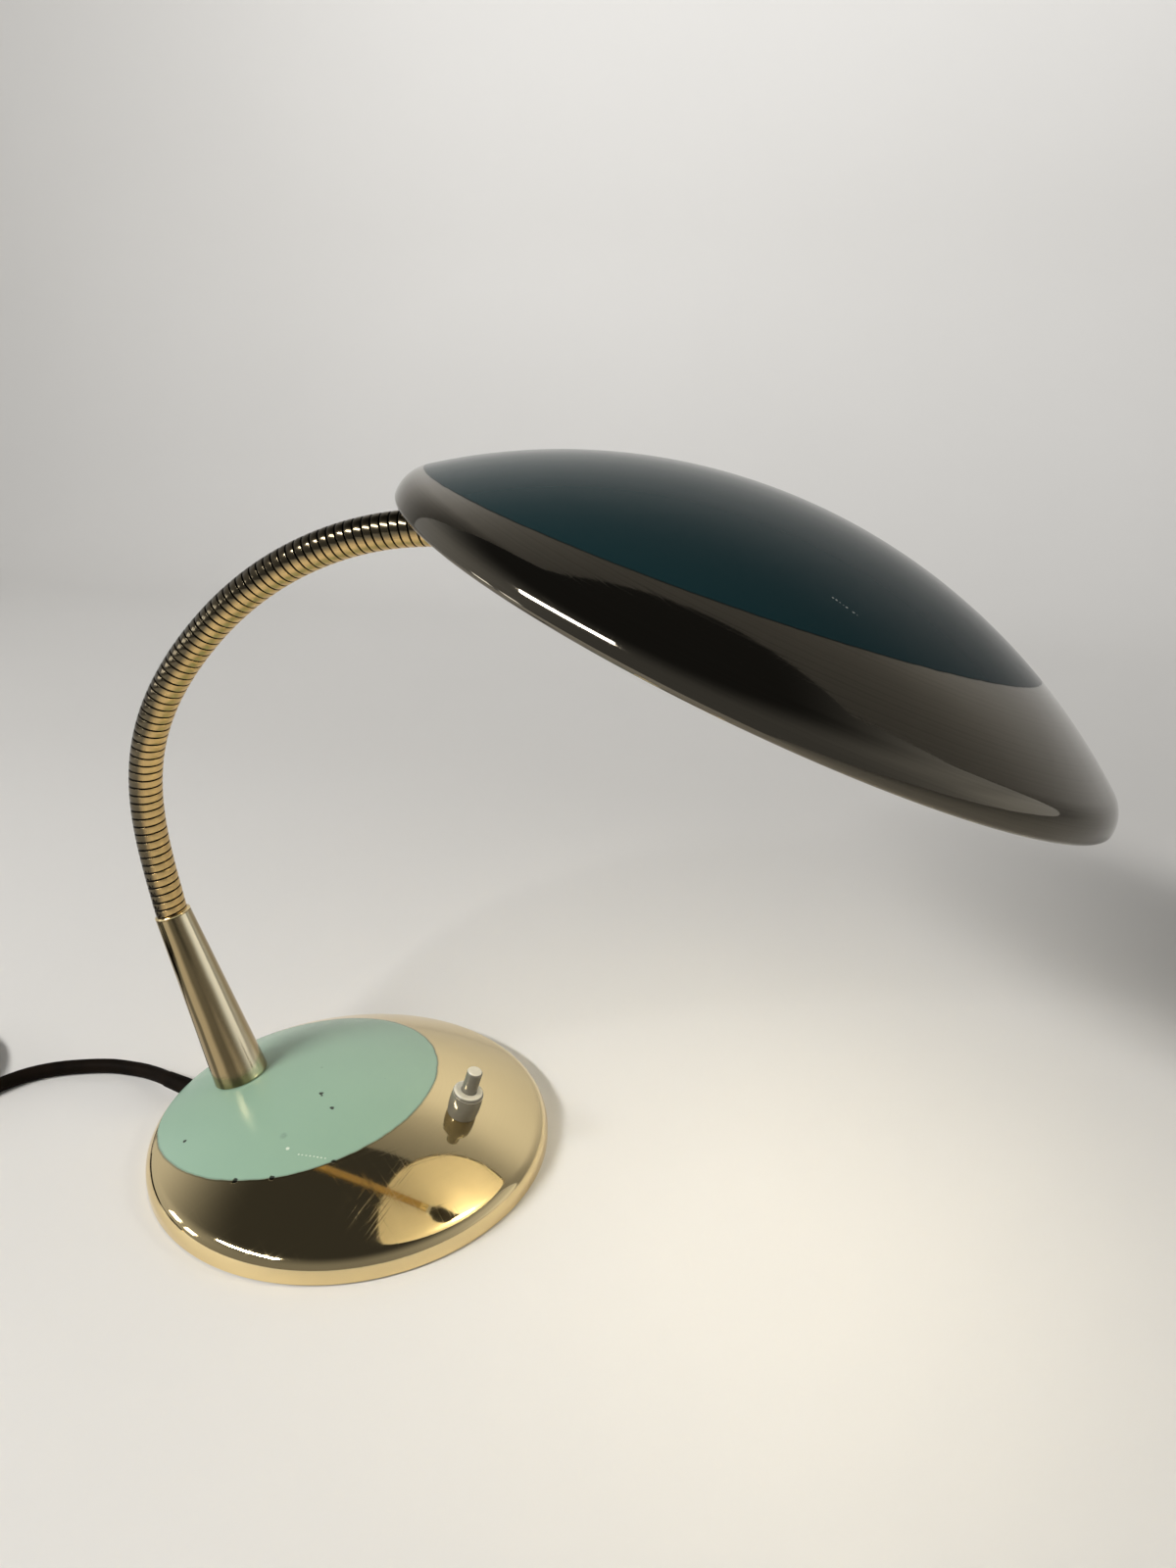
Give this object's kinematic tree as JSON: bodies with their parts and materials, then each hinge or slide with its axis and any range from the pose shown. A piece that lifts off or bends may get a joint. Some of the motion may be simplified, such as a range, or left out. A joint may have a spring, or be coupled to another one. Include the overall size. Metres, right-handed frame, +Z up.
{
  "type": "gooseneck desk lamp",
  "caption": "Desk lamp with a heavy domed base, a flexible neck on a tapered stem, a wide shallow round shade and a push switch on the base.",
  "frame": {"origin": "centre of the base's underside, on the table", "axes": "+X from the base towards the shade, +Z up"},
  "size_m": [0.5576, 0.2911, 0.2932],
  "materials": {
    "base_brass": "polished",
    "black_plastic": "satin",
    "black_rubber": "matt",
    "ceramic": "unglazed",
    "felt": "matt",
    "glass": "opal",
    "inner_brass": "bare",
    "iron": "as cast, painted",
    "ivory_plastic": "polished",
    "neck_brass": "polished, slightly tarnished",
    "shade_aluminium": "polished outside with enamel, white inside",
    "sleeve_brass": "satin",
    "steel": "zinc plated",
    "wire_blue": "satin",
    "wire_brown": "satin"
  },
  "bodies": {
    "base": {"base_shell": "base_brass", "base_weight": "iron", "bottom_plate": "steel", "felt_pad": "felt", "plate_screws": "steel", "strain_relief": "black_rubber", "cord_clamp": "steel", "clamp_screws": "inner_brass", "terminal_block": "ivory_plastic", "terminal_tubes": "inner_brass", "lead_inside": "black_rubber", "lead_cores": "wire_blue", "switch_wire": "wire_brown", "stem_sleeve": "sleeve_brass", "stem_rod": "steel", "stem_washer": "steel", "stem_nut": "steel", "neck_foot": "sleeve_brass", "neck_flex": "black_rubber", "switch_body": "black_plastic", "switch_collar": "ivory_plastic", "switch_spring": "steel", "cord_run": "black_rubber", "cord_coil": "black_rubber", "cord_tail": "black_rubber", "coil_tie": "black_plastic", "plug_body": "black_plastic", "plug_pins": "inner_brass"},
    "button": {"switch_button": "ivory_plastic"},
    "link_01": {"neck_link_01": "neck_brass"},
    "link_02": {"neck_link_02": "neck_brass"},
    "link_03": {"neck_link_03": "neck_brass"},
    "link_04": {"neck_link_04": "neck_brass"},
    "link_05": {"neck_link_05": "neck_brass"},
    "link_06": {"neck_link_06": "neck_brass"},
    "link_07": {"neck_link_07": "neck_brass"},
    "link_08": {"neck_link_08": "neck_brass"},
    "link_09": {"neck_link_09": "neck_brass"},
    "link_10": {"neck_link_10": "neck_brass"},
    "link_11": {"neck_link_11": "neck_brass"},
    "link_12": {"neck_link_12": "neck_brass"},
    "link_13": {"neck_link_13": "neck_brass"},
    "link_14": {"neck_link_14": "neck_brass"},
    "link_15": {"neck_link_15": "neck_brass"},
    "head": {"neck_link_16": "neck_brass", "neck_ferrule": "neck_brass", "ferrule_nut": "steel", "shade_strap": "steel", "shade_stud": "steel", "shade_washer": "steel", "shade_nut": "steel", "shade": "shade_aluminium", "holder_cap": "black_plastic", "holder_skirt": "black_plastic", "holder_insert": "ceramic", "thread_sleeve": "inner_brass", "centre_contact": "inner_brass", "bulb_cap": "inner_brass", "bulb_glass": "glass"}
  },
  "joints": [
    {"name": "neck_sway", "type": "hinge", "parent": "base", "child": "link_01", "pos_m": [-0.07628, 0, 0.10076], "axis": [-0.973, 0, -0.2309], "range_deg": [-7, 7], "deforming": ["neck_flex"]},
    {"name": "neck_bend_lower", "type": "hinge", "parent": "link_01", "child": "link_02", "pos_m": [-0.0793, 0, 0.11911], "axis": [0, 1, 0], "range_deg": [-8, 3]},
    {"name": "neck_bend_03", "type": "hinge", "parent": "link_02", "child": "link_03", "pos_m": [-0.0812, 0, 0.13762], "axis": [0, 1, 0], "range_deg": [-8, 3]},
    {"name": "neck_bend_04", "type": "hinge", "parent": "link_03", "child": "link_04", "pos_m": [-0.08082, 0, 0.15621], "axis": [0, 1, 0], "range_deg": [-8, 3]},
    {"name": "neck_sway_05", "type": "hinge", "parent": "link_04", "child": "link_05", "pos_m": [-0.07691, 0, 0.1744], "axis": [-0.9503, 0, 0.3115], "range_deg": [-7, 7]},
    {"name": "neck_bend_06", "type": "hinge", "parent": "link_05", "child": "link_06", "pos_m": [-0.0693, 0, 0.19137], "axis": [0, 1, 0], "range_deg": [-8, 3]},
    {"name": "neck_bend_07", "type": "hinge", "parent": "link_06", "child": "link_07", "pos_m": [-0.05886, 0, 0.20676], "axis": [0, 1, 0], "range_deg": [-8, 3]},
    {"name": "neck_bend_upper", "type": "hinge", "parent": "link_07", "child": "link_08", "pos_m": [-0.04662, 0, 0.22077], "axis": [0, 1, 0], "range_deg": [-8, 3]},
    {"name": "neck_sway_09", "type": "hinge", "parent": "link_08", "child": "link_09", "pos_m": [-0.03298, 0, 0.23342], "axis": [-0.6341, 0, 0.7733], "range_deg": [-7, 7]},
    {"name": "neck_bend_10", "type": "hinge", "parent": "link_09", "child": "link_10", "pos_m": [-0.01791, 0, 0.24431], "axis": [0, 1, 0], "range_deg": [-8, 3]},
    {"name": "neck_bend_11", "type": "hinge", "parent": "link_10", "child": "link_11", "pos_m": [-0.00154, 0, 0.25314], "axis": [0, 1, 0], "range_deg": [-8, 3]},
    {"name": "neck_bend_12", "type": "hinge", "parent": "link_11", "child": "link_12", "pos_m": [0.01584, 0, 0.25977], "axis": [0, 1, 0], "range_deg": [-8, 3]},
    {"name": "neck_sway_13", "type": "hinge", "parent": "link_12", "child": "link_13", "pos_m": [0.03398, 0, 0.2639], "axis": [-0.1496, 0, 0.9888], "range_deg": [-7, 7]},
    {"name": "neck_bend_14", "type": "hinge", "parent": "link_13", "child": "link_14", "pos_m": [0.05252, 0, 0.26531], "axis": [0, 1, 0], "range_deg": [-3.2, 1.2]},
    {"name": "neck_bend_15", "type": "hinge", "parent": "link_14", "child": "link_15", "pos_m": [0.07112, 0, 0.26575], "axis": [0, 1, 0], "range_deg": [-3.2, 1.2]},
    {"name": "neck_bend_16", "type": "hinge", "parent": "link_15", "child": "head", "pos_m": [0.08955, 0, 0.26328], "axis": [0, 1, 0], "range_deg": [-3.2, 1.2]},
    {"name": "button_press", "type": "slide", "parent": "base", "child": "button", "axis": [-0.2925, 0, -0.9563], "range_m": [0, 0.0035], "stiffness_N_per_m": 300, "springref_m": -0.002, "deforming": ["switch_spring"]}
  ],
  "couplings": [
    {"joint": "neck_sway_05", "follows": "neck_sway", "ratio": 1},
    {"joint": "neck_sway_09", "follows": "neck_sway", "ratio": 1},
    {"joint": "neck_sway_13", "follows": "neck_sway", "ratio": 1},
    {"joint": "neck_bend_03", "follows": "neck_bend_lower", "ratio": 1},
    {"joint": "neck_bend_04", "follows": "neck_bend_lower", "ratio": 1},
    {"joint": "neck_bend_06", "follows": "neck_bend_lower", "ratio": 1},
    {"joint": "neck_bend_07", "follows": "neck_bend_lower", "ratio": 1},
    {"joint": "neck_bend_10", "follows": "neck_bend_upper", "ratio": 1},
    {"joint": "neck_bend_11", "follows": "neck_bend_upper", "ratio": 1},
    {"joint": "neck_bend_12", "follows": "neck_bend_upper", "ratio": 1},
    {"joint": "neck_bend_14", "follows": "neck_bend_upper", "ratio": 0.4},
    {"joint": "neck_bend_15", "follows": "neck_bend_upper", "ratio": 0.4},
    {"joint": "neck_bend_16", "follows": "neck_bend_upper", "ratio": 0.4}
  ]
}
